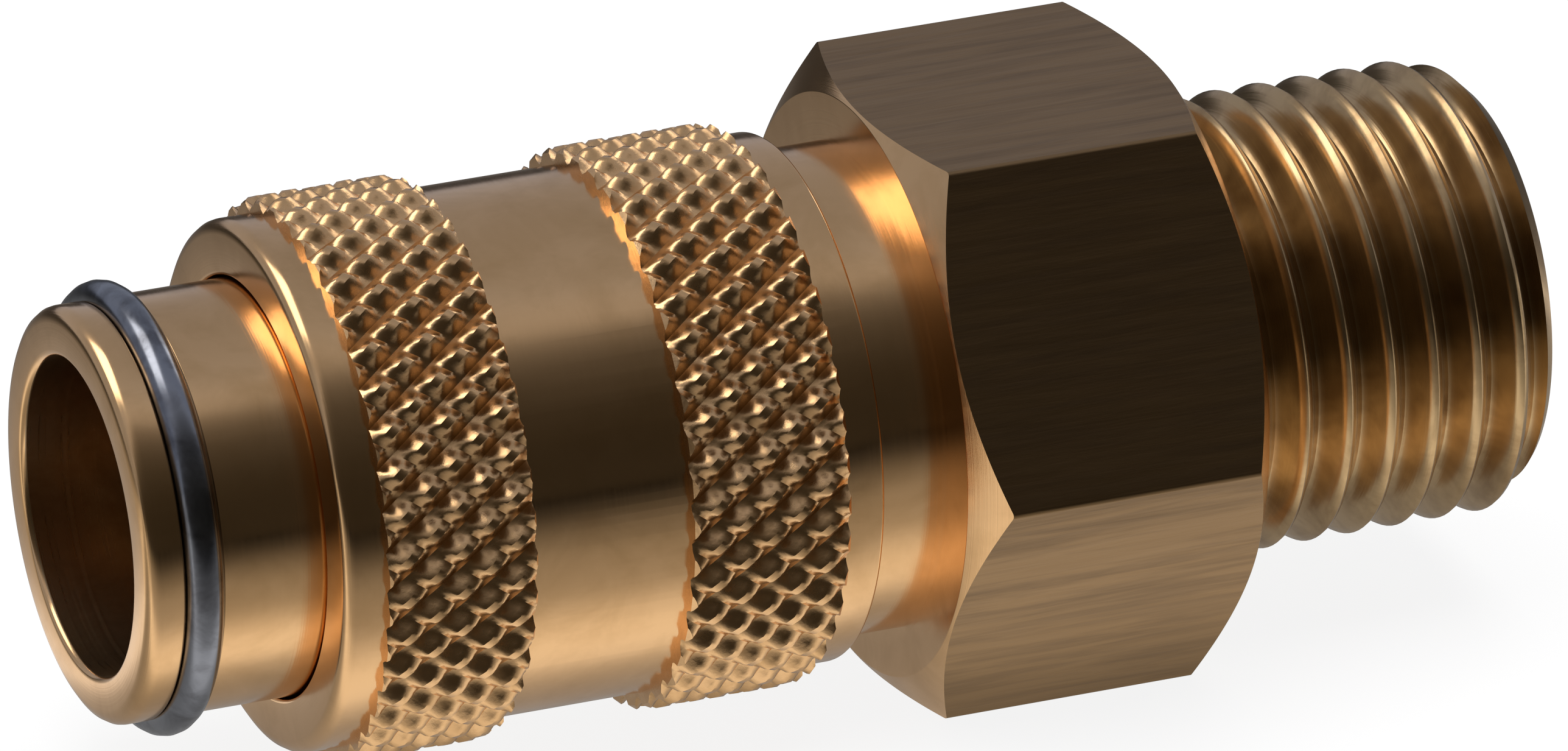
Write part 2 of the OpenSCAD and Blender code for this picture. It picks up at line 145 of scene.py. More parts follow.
class BodySizes(bpy.types.PropertyGroup):
    """Sizes of the socket body, the snap ring and the adapter"""

    tube_r: length("Nose tube radius", "Radius of the tube that the sleeve slides on", 5.95)
    plug_r: length("Plug bore radius", "Radius of the bore that takes the plug", 4.55)
    plug_depth: length("Plug bore depth", "Depth of the plug bore", 4.9)
    guide_r: length("Guide bore radius", "Radius of the bore that guides the valve", 4.3)
    neck_r: length("Neck radius", "Radius of the neck behind the sleeve", 7.0)
    neck_x: length("Neck front", "Front of the neck", 17.3)
    spigot_hole_r: length("Spigot hole radius", "Radius of the bore for the spigot", 6.17)
    chamber_r: length("Chamber radius", "Radius of the valve chamber", 5.3)
    chamber_x: length("Chamber end", "Rear end of the valve chamber", 18.3)
    seat_x: length("Seat", "Edge of the valve seat", 16.0)
    groove_x: length("Snap ring groove", "Middle of the snap ring's groove", 1.65)
    groove_r: length("Groove radius", "Radius of the snap ring's groove", 5.36)
    wire_r: length("Ring wire radius", "Radius of the snap ring's wire", 0.55)
    ball_x: length("Ball row", "Place of the row of balls", 9.4)
    ball_hole_r: length("Ball hole radius", "Radius of a ball hole", 1.3)
    across_flats: length("Across flats", "Width of the hexagon", 17.0)
    hex_length: length("Hexagon length", "Length of the hexagon", 9.2)
    hex_chamfer: length("Hexagon chamfer", "Axial length of the hexagon's chamfers", 0.85)
    hex_edge: length("Hexagon edge", "Rounding of the hexagon's long edges", 0.1)
    thread_r: length("Thread radius", "Radius over the thread's crests", 6.5785)
    thread_depth: length("Thread depth", "Depth of the thread", 0.856)
    thread_pitch: length("Thread pitch", "Pitch of the thread", 1.337)
    thread_chamfer: length("Thread chamfer", "Chamfer at the thread's end", 0.8)
    outlet_r: length("Outlet radius", "Radius of the flow bore", 3.5)
    outlet_x: length("Outlet front", "Front of the flow bore", 26.5)
    spigot_r: length("Spigot radius", "Outer radius of the spigot", 6.15)
    spigot_bore_r: length("Spigot bore radius", "Inner radius of the spigot", 5.15)


class SpringSizes(bpy.types.PropertyGroup):
    """Sizes of the two springs"""

    sleeve_turns: bpy.props.FloatProperty(
        name="Sleeve spring turns", description="Turns of the sleeve spring", default=4.0, min=2.5
    )
    sleeve_wire: length("Sleeve spring wire", "Wire diameter of the sleeve spring", 0.7)
    valve_turns: bpy.props.FloatProperty(
        name="Valve spring turns", description="Turns of the valve spring", default=5.5, min=2.5
    )
    valve_wire: length("Valve spring wire", "Wire diameter of the valve spring", 0.6)


class Finishes(bpy.types.PropertyGroup):
    """Colours of the metals, the rubber and the stage"""

    brass: colour("Brass", "Freshly cut brass", "#EDBE88")
    brass_aged: colour("Handled brass", "Brass dulled by handling", "#DDAF79")
    brass_drawn: colour("Drawn brass", "Skin of drawn brass bar", "#9B7B54")
    brass_dull: colour("Dull drawn brass", "Skin of drawn brass bar gone dull", "#84694A")
    # Darker than the fresh brass: painted shade for the thread's roots, laid over the whole thread.
    thread_brass_painted_shade: colour("Thread brass", "Brass in a cut thread, with oil in its roots", "#CBAA7C")
    bored_brass: colour("Bored brass", "Brass inside a bore", "#BFA27C")
    steel: colour("Steel", "Drawn steel wire", "#8E8F94")
    steel_dark: colour("Dark steel", "Steel wire in its drawing skin", "#5F5E61")
    ball_steel: colour("Ball steel", "Polished bearing steel", "#C9CBCF")
    rubber: colour("Rubber", "Nitrile rubber", "#242220")
    floor: colour("Floor", "Pale studio floor", "#F4F3F1")


def sizes(group):
    """The lengths and numbers of a property group, with lengths in millimetres."""
    values = {}
    for key in group.__annotations__:
        value = getattr(group, key)
        is_length = group.bl_rna.properties[key].unit == "LENGTH"
        values[key] = value / MM if is_length else value
    return values


# Meshes


def new_object(name, mesh):
    """Links a mesh to the scene as an object at the origin."""
    made = bpy.data.objects.new(name, mesh)
    bpy.context.scene.collection.objects.link(made)
    return made


def drop(made):
    """Removes an object that was only a tool."""
    mesh = made.data
    bpy.data.objects.remove(made)
    bpy.data.meshes.remove(mesh)


def bake(made):
    """Replaces an object's mesh with its evaluated shape, and clears its modifiers."""
    bpy.context.view_layer.update()
    graph = bpy.context.evaluated_depsgraph_get()
    result = bpy.data.meshes.new_from_object(made.evaluated_get(graph))
    old = made.data
    made.modifiers.clear()
    made.data = result
    bpy.data.meshes.remove(old)
    result.name = made.name
    return made


def with_fillets(outline, steps=4):
    """Outline points, where each (x, r, fillet) corner becomes an arc."""
    points = []
    for i, corner in enumerate(outline):
        here = Vector(corner[:2])
        if len(corner) == 2:
            points.append(here)
            continue
        before = (Vector(outline[i - 1][:2]) - here).normalized()
        after = (Vector(outline[(i + 1) % len(outline)][:2]) - here).normalized()
        half = before.angle(after) / 2
        centre = here + (before + after).normalized() * corner[2] / math.sin(half)
        start = here + before * corner[2] / math.tan(half) - centre
        end = here + after * corner[2] / math.tan(half) - centre
        points += [
            centre + start.lerp(end, k / steps).normalized() * corner[2] for k in range(steps + 1)
        ]
    return points


def turned(name, outline, facets=FACETS):
    """Turns a closed outline of (x, r) or (x, r, fillet) points about the axis."""
    verts, rings, faces = [], [], []
    for x, r in with_fillets(outline):
        if r < 1e-6:
            rings.append([len(verts)] * facets)
            verts.append((x, 0, 0))
            continue
        rings.append(list(range(len(verts), len(verts) + facets)))
        for k in range(facets):
            angle = math.tau * k / facets
            verts.append((x, r * math.cos(angle), r * math.sin(angle)))
    for a, b in zip(rings, rings[1:] + rings[:1]):
        for k in range(facets):
            n = (k + 1) % facets
            face = list(dict.fromkeys((a[k], a[n], b[n], b[k])))
            if len(face) > 2:
                faces.append(face)
    mesh = bpy.data.meshes.new(name)
    mesh.from_pydata(verts, [], faces)
    point_outwards(mesh)
    return new_object(name, mesh)


def point_outwards(mesh):
    """Turns every face of a closed mesh outwards."""
    work = bmesh.new()
    work.from_mesh(mesh)
    bmesh.ops.recalc_face_normals(work, faces=work.faces)
    work.to_mesh(mesh)
    work.free()


def combine(made, other, operation):
    """Joins, cuts or trims a closed solid with another one, which is used up."""
    step = made.modifiers.new("combine", "BOOLEAN")
    step.operation = operation
    step.solver = "MANIFOLD"
    step.object = other
    bake(made)
    drop(other)
    return made


def finish_piece(made, *materials):
    """Sets a piece in the frame, shades it and gives it its materials."""
    mesh = made.data
    mesh.transform(PLACE)
    mesh.materials.clear()
    for material in materials:
        mesh.materials.append(material)
    mesh.shade_smooth()
    mesh.set_sharp_from_angle(angle=SHARP_ANGLE)
    weighted = made.modifiers.new("weighted", "WEIGHTED_NORMAL")
    weighted.keep_sharp = True
    return bake(made)


# Node trees


def add_node(tree, kind, inputs=None, **settings):
    """Adds a node with its settings; inputs maps its sockets to values or to sockets."""
    node = tree.nodes.new(kind)
    for key, value in settings.items():
        setattr(node, key, value)
    for key, value in (inputs or {}).items():
        if isinstance(value, bpy.types.NodeSocket):
            tree.links.new(value, node.inputs[key])
        else:
            node.inputs[key].default_value = value
    return node


def calc(tree, operation, *values):
    """Result of a math node."""
    node = add_node(tree, "ShaderNodeMath", dict(enumerate(values)), operation=operation)
    return node.outputs[0]


def split(tree, vector):
    """X, Y and Z of a vector."""
    return add_node(tree, "ShaderNodeSeparateXYZ", {0: vector}).outputs


def joined(tree, x=0.0, y=0.0, z=0.0):
    """Vector of three values or sockets."""
    return add_node(tree, "ShaderNodeCombineXYZ", {0: x, 1: y, 2: z}).outputs[0]


def position(tree):
    """X, Y and Z of a geometry's points."""
    return split(tree, add_node(tree, "GeometryNodeInputPosition").outputs[0])


def moved(tree, geometry, place):
    """Geometry with its points at a new place."""
    settings = {"Geometry": geometry, "Position": place}
    return add_node(tree, "GeometryNodeSetPosition", settings).outputs[0]


def round_axis(tree, x, radius, angle):
    """Place round the axis, where angle 0 is straight below it."""
    sideways = calc(tree, "MULTIPLY", radius, calc(tree, "SINE", angle))
    downwards = calc(tree, "MULTIPLY", radius, -1)
    return joined(tree, x, sideways, calc(tree, "MULTIPLY", calc(tree, "COSINE", angle), downwards))


def new_tree(name, **inputs):
    """Starts a geometry tree with named inputs, and returns it with their sockets."""
    kinds = {"f": "NodeSocketFloat", "i": "NodeSocketInt"}
    tree = bpy.data.node_groups.new(name, "GeometryNodeTree")
    tree.interface.new_socket("Geometry", in_out="OUTPUT", socket_type="NodeSocketGeometry")
    for key, kind in inputs.items():
        tree.interface.new_socket(key, in_out="INPUT", socket_type=kinds[kind])
    return tree, tree.nodes.new("NodeGroupInput").outputs


def end_tree(tree, geometry):
    """Ends a tree in real meshes with its material."""
    real = add_node(tree, "GeometryNodeRealizeInstances", {"Geometry": geometry})
    merged = add_node(
        tree, "GeometryNodeMergeByDistance", {"Geometry": real.outputs[0], "Distance": WELD}
    )
    set_material = add_node(
        tree, "GeometryNodeSetMaterial",
        {"Geometry": merged.outputs[0], "Material": bpy.data.materials["turned brass"]},
    )
    add_node(tree, "NodeGroupOutput", {0: set_material.outputs[0]})
    return tree


def grow(name, tree, **values):
    """Plain mesh object of a geometry tree with these inputs."""
    made = new_object(name, bpy.data.meshes.new(name))
    step = made.modifiers.new("grow", "NODES")
    step.node_group = tree
    for item in tree.interface.items_tree:
        if item.in_out == "INPUT":
            step[item.identifier] = values[item.name]
    return bake(made)


def flank(tree, offset, flat):
    """Rises from 0 on the flat middle of a diamond to 1 at its edge."""
    doubled = calc(tree, "MULTIPLY", calc(tree, "ABSOLUTE", offset), 2)
    return add_node(
        tree, "ShaderNodeMapRange", {"Value": doubled, "From Min": flat},
        interpolation_type="SMOOTHSTEP",
    ).outputs[0]


def knurl_tree():
    """Diamonds in staggered rows, wrapped round the axis."""
    points_along_edge = 9
    tree, given = new_tree(
        "knurl", first="f", step="f", rows="i", count="i", root="f", depth="f", flat="f",
        cross="f", wear="f", seed="f",
    )
    count, root, step = given["count"], given["root"], given["step"]
    pitch = calc(tree, "DIVIDE", calc(tree, "MULTIPLY", root, math.tau), count)
    half_pitch = calc(tree, "MULTIPLY", pitch, 0.5)

    # One diamond: a square stood on its corner, with a ridge along v and a notch at each end
    square = add_node(
        tree, "GeometryNodeMeshGrid",
        {
            "Size X": 1, "Size Y": 1, "Vertices X": points_along_edge,
            "Vertices Y": points_along_edge,
        },
    )
    u, v, _ = position(tree)
    ridge = calc(tree, "SUBTRACT", 1, flank(tree, u, given["flat"]))
    notch = calc(tree, "MULTIPLY", flank(tree, v, given["flat"]), given["cross"])
    share = calc(tree, "MULTIPLY", ridge, calc(tree, "SUBTRACT", 1, notch))
    corner = joined(
        tree,
        calc(tree, "MULTIPLY", calc(tree, "ADD", u, v), step),
        calc(tree, "MULTIPLY", calc(tree, "SUBTRACT", u, v), half_pitch),
        calc(tree, "MULTIPLY", share, given["depth"]),
    )
    diamond = moved(tree, square.outputs[0], corner)

    # The sheet of diamonds, every other row moved by half a pitch
    index = add_node(tree, "GeometryNodeInputIndex").outputs[0]
    row = calc(tree, "FLOOR", calc(tree, "DIVIDE", index, count))
    column = calc(tree, "MODULO", index, count)
    stagger = calc(tree, "MULTIPLY_ADD", calc(tree, "MODULO", row, 2), 0.5, 0.5)
    place = joined(
        tree,
        calc(tree, "MULTIPLY_ADD", row, step, given["first"]),
        calc(tree, "MULTIPLY", calc(tree, "ADD", column, stagger), pitch),
    )
    how_many = calc(tree, "MULTIPLY", given["rows"], count)
    points = add_node(tree, "GeometryNodePoints", {"Count": how_many, "Position": place})
    sheet = add_node(
        tree, "GeometryNodeInstanceOnPoints", {"Points": points.outputs[0], "Instance": diamond}
    )
    real = add_node(tree, "GeometryNodeRealizeInstances", {"Geometry": sheet.outputs[0]})

    # The sheet wrapped round the axis, a little worn in places
    x, around, height = position(tree)
    angle = calc(tree, "DIVIDE", around, root)
    on_root = joined(
        tree, x,
        calc(tree, "MULTIPLY", calc(tree, "SINE", angle), root),
        calc(tree, "MULTIPLY", calc(tree, "COSINE", angle), root),
    )
    uneven = add_node(
        tree, "ShaderNodeTexNoise",
        {"Vector": on_root, "W": given["seed"], "Scale": 0.9, "Detail": 2},
        noise_dimensions="4D",
    ).outputs[0]
    left = calc(tree, "SUBTRACT", 1, calc(tree, "MULTIPLY", uneven, given["wear"]))
    radius = calc(tree, "MULTIPLY_ADD", height, left, root)
    return end_tree(tree, moved(tree, real.outputs[0], round_axis(tree, x, radius, angle)))


def thread_tree():
    """Round-crested screw thread: one pitch of its section swept along a helix."""
    tree, given = new_tree(
        "thread", start="f", turns="f", pitch="f", root="f", depth="f", along="i", across="i"
    )
    strip = add_node(
        tree, "GeometryNodeMeshGrid",
        {"Size X": 1, "Size Y": 1, "Vertices X": given["along"], "Vertices Y": given["across"]},
    )
    along, across, _ = position(tree)
    turn = calc(tree, "MULTIPLY", calc(tree, "ADD", along, 0.5), given["turns"])
    share = calc(tree, "ADD", across, 0.5)
    angle = calc(tree, "MULTIPLY", turn, math.tau)
    from_crest = calc(tree, "ABSOLUTE", calc(tree, "MULTIPLY_ADD", share, 2, -1))
    section = add_node(
        tree, "ShaderNodeMapRange",
        {"Value": calc(tree, "SUBTRACT", 1, from_crest), "To Max": given["depth"]},
        interpolation_type="SMOOTHSTEP",
    )
    radius = calc(tree, "ADD", section.outputs[0], given["root"])
    pitches = calc(tree, "ADD", turn, share)
    place = joined(
        tree,
        calc(tree, "MULTIPLY_ADD", pitches, given["pitch"], given["start"]),
        calc(tree, "MULTIPLY", radius, calc(tree, "COSINE", angle)),
        calc(tree, "MULTIPLY", radius, calc(tree, "SINE", angle)),
    )
    return end_tree(tree, moved(tree, strip.outputs[0], place))


def coil_tree():
    """Round wire along a helix, with one closer turn at each end."""
    tree, given = new_tree(
        "coil", start="f", turns="f", coil_r="f", wire_r="f", close="f", open="f", points="i",
        sides="i", first_turn="f",
    )
    line = add_node(tree, "GeometryNodeCurvePrimitiveLine", {"End": (1, 0, 0)})
    path = add_node(
        tree, "GeometryNodeResampleCurve", {"Curve": line.outputs[0], "Count": given["points"]}
    )
    share = add_node(tree, "GeometryNodeSplineParameter").outputs[0]
    turn = calc(tree, "MULTIPLY", share, given["turns"])
    first = calc(tree, "MINIMUM", turn, 1)
    last_starts = calc(tree, "SUBTRACT", given["turns"], 1)
    last = calc(tree, "MAXIMUM", calc(tree, "SUBTRACT", turn, last_starts), 0)
    middle = calc(tree, "SUBTRACT", calc(tree, "SUBTRACT", turn, first), last)
    ends = calc(tree, "MULTIPLY", calc(tree, "ADD", first, last), given["close"])
    x = calc(tree, "ADD", calc(tree, "MULTIPLY_ADD", middle, given["open"], ends), given["start"])
    angle = calc(tree, "MULTIPLY", calc(tree, "ADD", turn, given["first_turn"]), math.tau)
    bent = moved(tree, path.outputs[0], round_axis(tree, x, given["coil_r"], angle))
    section = add_node(
        tree, "GeometryNodeCurvePrimitiveCircle",
        {"Resolution": given["sides"], "Radius": given["wire_r"]},
    )
    wire = add_node(
        tree, "GeometryNodeCurveToMesh",
        {"Curve": bent, "Profile Curve": section.outputs[0], "Fill Caps": True},
    )
    return end_tree(tree, wire.outputs[0])


# Materials


def new_material(name):
    """Empty node material with a principled surface."""
    material = bpy.data.materials.new(name)
    material.use_nodes = True
    tree = material.node_tree
    tree.nodes.clear()
    surface = add_node(tree, "ShaderNodeBsdfPrincipled")
    add_node(tree, "ShaderNodeOutputMaterial", {0: surface.outputs[0]})
    return material, tree, surface


def from_axis(tree):
    """Object coordinates in millimetres, centred on the coupling's axis."""
    coords = add_node(tree, "ShaderNodeTexCoord").outputs["Object"]
    moved = add_node(
        tree, "ShaderNodeMapping",
        {"Vector": coords, "Location": (-NOSE_X / MM, 0, -AXIS_Z / MM), "Scale": (1 / MM,) * 3},
    )
    return moved.outputs[0]


def noise(tree, place, scale, detail, roughness=0.5, distortion=0.0):
    """Value of a noise pattern."""
    return add_node(
        tree, "ShaderNodeTexNoise",
        {
            "Vector": place, "Scale": scale, "Detail": detail, "Roughness": roughness,
            "Distortion": distortion,
        },
    ).outputs[0]


def ranged(tree, value, low, high):
    """Value spread from low to high."""
    settings = {"Value": value, "To Min": low, "To Max": high}
    return add_node(tree, "ShaderNodeMapRange", settings).outputs[0]


def engrave(tree, surface, height, strength, depth):
    """Bump of a surface, with its depth in millimetres."""
    settings = {"Height": height, "Strength": strength, "Distance": depth * MM}
    bump = add_node(tree, "ShaderNodeBump", settings)
    tree.links.new(bump.outputs[0], surface.inputs["Normal"])


def cutting_path(tree, place):
    """Grows along a lathe tool's path: along the axis on round faces, outwards on end faces."""
    parts = split(tree, place)
    off_axis = joined(tree, 0.0, parts[1], parts[2])
    radius = add_node(tree, "ShaderNodeVectorMath", {0: off_axis}, operation="LENGTH")
    return calc(tree, "MULTIPLY_ADD", radius.outputs["Value"], 1.7, parts[0])


def patina(tree, place, surface, fresh, aged, spread=0.45):
    """Mixes fresh and handled metal in soft patches."""
    cloud = noise(tree, place, spread, 5, 0.6, 0.4)
    patch = add_node(
        tree, "ShaderNodeMapRange", {"Value": cloud, "From Min": 0.42, "From Max": 0.72}
    ).outputs[0]
    mixed = add_node(
        tree, "ShaderNodeMix", {0: patch, 6: (*fresh, 1), 7: (*aged, 1)}, data_type="RGBA"
    )
    tree.links.new(mixed.outputs[2], surface.inputs["Base Color"])
    return patch


def new_metal(name):
    """Metal without a pattern, with its tree, its surface and its coordinates."""
    material, tree, surface = new_material(name)
    surface.inputs["Metallic"].default_value = 1
    return material, tree, surface, from_axis(tree)


def lathe_brass(name, fresh, aged, smoothest, roughest):
    """Brass cut by a lathe tool, with the fine rings that the tool leaves."""
    material, tree, surface, place = new_metal(name)
    worn = patina(tree, place, surface, fresh, aged)
    # Feed marks of about 0.12 mm, coarser than the real ones so that they show
    rings = add_node(
        tree, "ShaderNodeTexNoise",
        {"W": cutting_path(tree, place), "Scale": 8, "Detail": 3, "Roughness": 0.7},
        noise_dimensions="1D",
    ).outputs[0]
    engrave(tree, surface, rings, 0.22, 0.008)
    rough = ranged(tree, rings, smoothest, roughest)
    tree.links.new(calc(tree, "MULTIPLY_ADD", worn, 0.06, rough), surface.inputs["Roughness"])
    return material


def turned_brass(finishes):
    """Outer faces: a sharp tool and a slow feed leave them bright."""
    return lathe_brass("turned brass", finishes.brass, finishes.brass_aged, 0.12, 0.21)


def thread_brass_painted_shade(finishes):
    """Thread flanks: cut in several passes and duller, in a brass darkened all over the thread as
    painted shade for its roots.
    """
    return lathe_brass("cut thread brass", finishes.thread_brass_painted_shade, finishes.brass_drawn, 0.15, 0.27)


def bored_brass(finishes):
    """Bore: cut by a long, springy tool, so greyer and rougher."""
    return lathe_brass("bored brass", finishes.bored_brass, finishes.brass_drawn, 0.22, 0.36)


def knurled_brass(finishes):
    """Brass squeezed between knurling wheels, with handled patches and fine scuffs."""
    material, tree, surface, place = new_metal("knurled brass")
    worn = patina(tree, place, surface, finishes.brass, finishes.brass_aged, 1.1)
    # Scuffs of 0.1 to 0.2 mm
    engrave(tree, surface, noise(tree, place, 6, 4, 0.6), 0.35, 0.02)
    tree.links.new(calc(tree, "MULTIPLY_ADD", worn, 0.1, 0.24), surface.inputs["Roughness"])
    return material


def drawn_brass(finishes):
    """Hexagon bar as drawn through its die: straight lines along the flats."""
    material, tree, surface, place = new_metal("drawn brass")
    stretched = add_node(
        tree, "ShaderNodeMapping", {"Vector": place, "Scale": (0.25, 3.5, 3.5)}
    ).outputs[0]
    worn = patina(tree, stretched, surface, finishes.brass_drawn, finishes.brass_dull, 0.6)
    # Die lines 0.2 to 0.4 mm apart
    lines = noise(tree, stretched, 1, 5, 0.65, 0.2)
    engrave(tree, surface, lines, 0.5, 0.02)
    rough = ranged(tree, lines, 0.3, 0.48)
    tree.links.new(calc(tree, "MULTIPLY_ADD", worn, 0.06, rough), surface.inputs["Roughness"])
    return material


def wire_steel(finishes):
    """Spring wire as drawn and wound: smooth grey steel with darker skin in patches."""
    material, tree, surface, place = new_metal("spring wire")
    patina(tree, place, surface, finishes.steel, finishes.steel_dark, 0.8)
    rough = ranged(tree, noise(tree, place, 5, 3), 0.16, 0.3)
    tree.links.new(rough, surface.inputs["Roughness"])
    return material


def polished_steel(finishes):
    """Ground and lapped bearing steel: a clear mirror with a trace of haze."""
    material, tree, surface, place = new_metal("bearing steel")
    rough = ranged(tree, noise(tree, place, 3, 4), 0.04, 0.12)
    tree.links.new(rough, surface.inputs["Roughness"])
    surface.inputs["Base Color"].default_value = (*finishes.ball_steel, 1)
    return material


def nitrile_rubber(finishes):
    """Moulded nitrile rubber: near black, with a soft sheen and a fine bloom."""
    material, tree, surface = new_material("nitrile rubber")
    rough = ranged(tree, noise(tree, from_axis(tree), 4, 6), 0.38, 0.6)
    tree.links.new(rough, surface.inputs["Roughness"])
    surface.inputs["Base Color"].default_value = (*finishes.rubber, 1)
    return material


# Pieces


def closed_tube(made, inner_r):
    """Closes a wrapped sheet into a thick tube, through its two open ends."""
    work = bmesh.new()
    work.from_mesh(made.data)
    rim = [edge for edge in work.edges if edge.is_boundary]
    inner = bmesh.ops.extrude_edge_only(work, edges=rim)["geom"]
    for vert in (item for item in inner if isinstance(item, bmesh.types.BMVert)):
        away = Vector((0, vert.co.y, vert.co.z)).normalized() * inner_r
        vert.co = (vert.co.x, away.y, away.z)
    loops = [edge for edge in work.edges if edge.is_boundary]
    bmesh.ops.bridge_loops(work, edges=loops)
    bmesh.ops.triangulate(work, faces=[face for face in work.faces if len(face.verts) > 4])
    bmesh.ops.recalc_face_normals(work, faces=work.faces)
    work.to_mesh(made.data)
    work.free()
    return made


def capped(made):
    """Closes a swept thread with a cone to the axis at each end."""
    work = bmesh.new()
    work.from_mesh(made.data)
    rim = {edge for edge in work.edges if edge.is_boundary}
    ends = sorted(vert.co.x for edge in rim for vert in edge.verts)
    middle = (ends[0] + ends[-1]) / 2
    front = work.verts.new((ends[0] - 1, 0, 0))
    rear = work.verts.new((ends[-1] + 1, 0, 0))
    for edge in rim:
        a, b = edge.verts
        work.faces.new((a, b, front if a.co.x < middle else rear))
    bmesh.ops.recalc_face_normals(work, faces=work.faces)
    work.to_mesh(made.data)
    work.free()
    return made


def knurled_band(tree, given, start, long, seed):
    """One knurled band, trimmed to its length with small chamfers."""
    step = given["knurl_step"]
    tip_r = span("locking_sleeve")[2]
    root_r = tip_r - given["knurl_depth"]
    whole_steps = math.floor(long / step) - 1
    first = start + (long - whole_steps * step) / 2 - step
    band = grow(
        "band", tree, first=first, step=step, rows=whole_steps + 3, count=given["knurl_count"],
        root=root_r, depth=given["knurl_depth"], flat=given["knurl_flat"],
        cross=given["knurl_cross"], wear=given["knurl_wear"], seed=seed,
    )
    buried, spare, chamfer = 0.25, 0.3, 0.2
    inner_r = given["band_r"] - buried
    closed_tube(band, inner_r - spare)
    trim = turned("trim", [
        (start, inner_r),
        (start, tip_r - chamfer),
        (start + chamfer, tip_r + PAST),
        (start + long - chamfer, tip_r + PAST),
        (start + long, tip_r - chamfer),
        (start + long, inner_r),
    ])
    return combine(band, trim, "INTERSECT")


class COUPLING_OT_sleeve(bpy.types.Operator):
    """Build the locking sleeve with its two knurled bands"""

    bl_idname = "coupling.sleeve"
    bl_label = "Locking Sleeve"

    def execute(self, context):
        given = sizes(context.scene.sleeve_sizes)
        front, rear, _ = span("locking_sleeve")
        knurl_1 = front + given["front_collar"]
        knurl_2 = rear - given["rear_collar"] - given["rear_knurl"]
        bury, edge, land = 0.2, 0.12, 0.9
        sleeve = turned("knurled_sleeve", [
            (front, given["bore_r"], edge),
            (front, given["collar_r"], given["collar_round"]),
            (knurl_1 + bury, given["collar_r"]),
            (knurl_1 + bury, given["band_r"]),
            (rear - given["rear_collar"] - bury, given["band_r"]),
            (rear - given["rear_collar"] - bury, given["collar_r"]),
            (rear, given["collar_r"], edge),
            (rear, given["rear_bore_r"], edge / 2),
            (given["spring_x"], given["rear_bore_r"]),
            (given["spring_x"], given["bore_r"]),
            (given["spring_x"] - land, given["bore_r"]),
            (given["recess_x"], given["recess_r"]),
            (front + given["lip"], given["recess_r"]),
            (front + given["lip"], given["bore_r"]),
        ])
        tree = knurl_tree()
        bands = ((knurl_1, given["front_knurl"], 3.0), (knurl_2, given["rear_knurl"], 8.0))
        for start, long, seed in bands:
            combine(sleeve, knurled_band(tree, given, start, long, seed), "UNION")
        finish_piece(
            sleeve, bpy.data.materials["turned brass"], bpy.data.materials["knurled brass"]
        )
        limit = (given["collar_r"] + 0.02) * MM
        for face in sleeve.data.polygons:
            y, z = face.center.y, face.center.z - AXIS_Z
            face.material_index = int(math.hypot(y, z) > limit)
        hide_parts("locking_sleeve")
        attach(sleeve, "sleeve")
        return {"FINISHED"}


class COUPLING_OT_socket_body(bpy.types.Operator):
    """Build the nose tube, the neck and the valve seat"""

    bl_idname = "coupling.socket_body"
    bl_label = "Socket Body"

    def execute(self, context):
        given = sizes(context.scene.body_sizes)
        rear = span("socket_body")[1]
        tube, plug, guide, neck = (given[k] for k in ("tube_r", "plug_r", "guide_r", "neck_r"))
        clearance = 0.02
        edge, groove_half = 0.2, given["wire_r"] + clearance
        seat_end = given["seat_x"] + given["chamber_r"] - guide
        body = turned("nose_body", [
            (0, plug, edge),
            (0, tube, 0.45),
            (given["groove_x"] - groove_half, tube, 0.05),
            (given["groove_x"] - groove_half, given["groove_r"]),
            (given["groove_x"] + groove_half, given["groove_r"]),
            (given["groove_x"] + groove_half, tube, 0.05),
            (given["neck_x"], tube),
            (given["neck_x"], neck, 0.3),
            (rear, neck),
            (rear, given["spigot_hole_r"]),
            (given["chamber_x"], given["spigot_hole_r"]),
            (given["chamber_x"], given["chamber_r"]),
            (seat_end, given["chamber_r"]),
            (given["seat_x"], guide),
            (given["plug_depth"], guide),
            (given["plug_depth"], plug),
        ])
        seal_front, seal_rear, seal_r = span("plug_seal")
        seal_x, seal_half, inside = (seal_front + seal_rear) / 2, 0.55, 0.5
        groove = turned("groove", [
            (seal_x - seal_half, guide - inside),
            (seal_x - seal_half, seal_r + clearance),
            (seal_x + seal_half, seal_r + clearance),
            (seal_x + seal_half, guide - inside),
        ])
        combine(body, groove, "DIFFERENCE")
        balls, first_ball = 6, -60
        for k in range(balls):
            hole = turned("hole", [
                (guide - 1, 0), (guide - 1, given["ball_hole_r"]),
                (tube + 1, given["ball_hole_r"]), (tube + 1, 0),
            ], facets=48)
            turn = Matrix.Rotation(math.radians(first_ball + 360 / balls * k), 4, "X")
            aim = Matrix.Rotation(math.radians(90), 4, "Y")
            hole.data.transform(Matrix.Translation((given["ball_x"], 0, 0)) @ turn @ aim)
            combine(body, hole, "DIFFERENCE")
        finish_piece(body, bpy.data.materials["turned brass"], bpy.data.materials["bored brass"])
        for face in body.data.polygons:
            radius = math.hypot(face.center.y, face.center.z - AXIS_Z)
            face.material_index = int(radius < (plug + 0.02) * MM)
        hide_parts("socket_body")
        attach(body, "coupling_body")
        return {"FINISHED"}


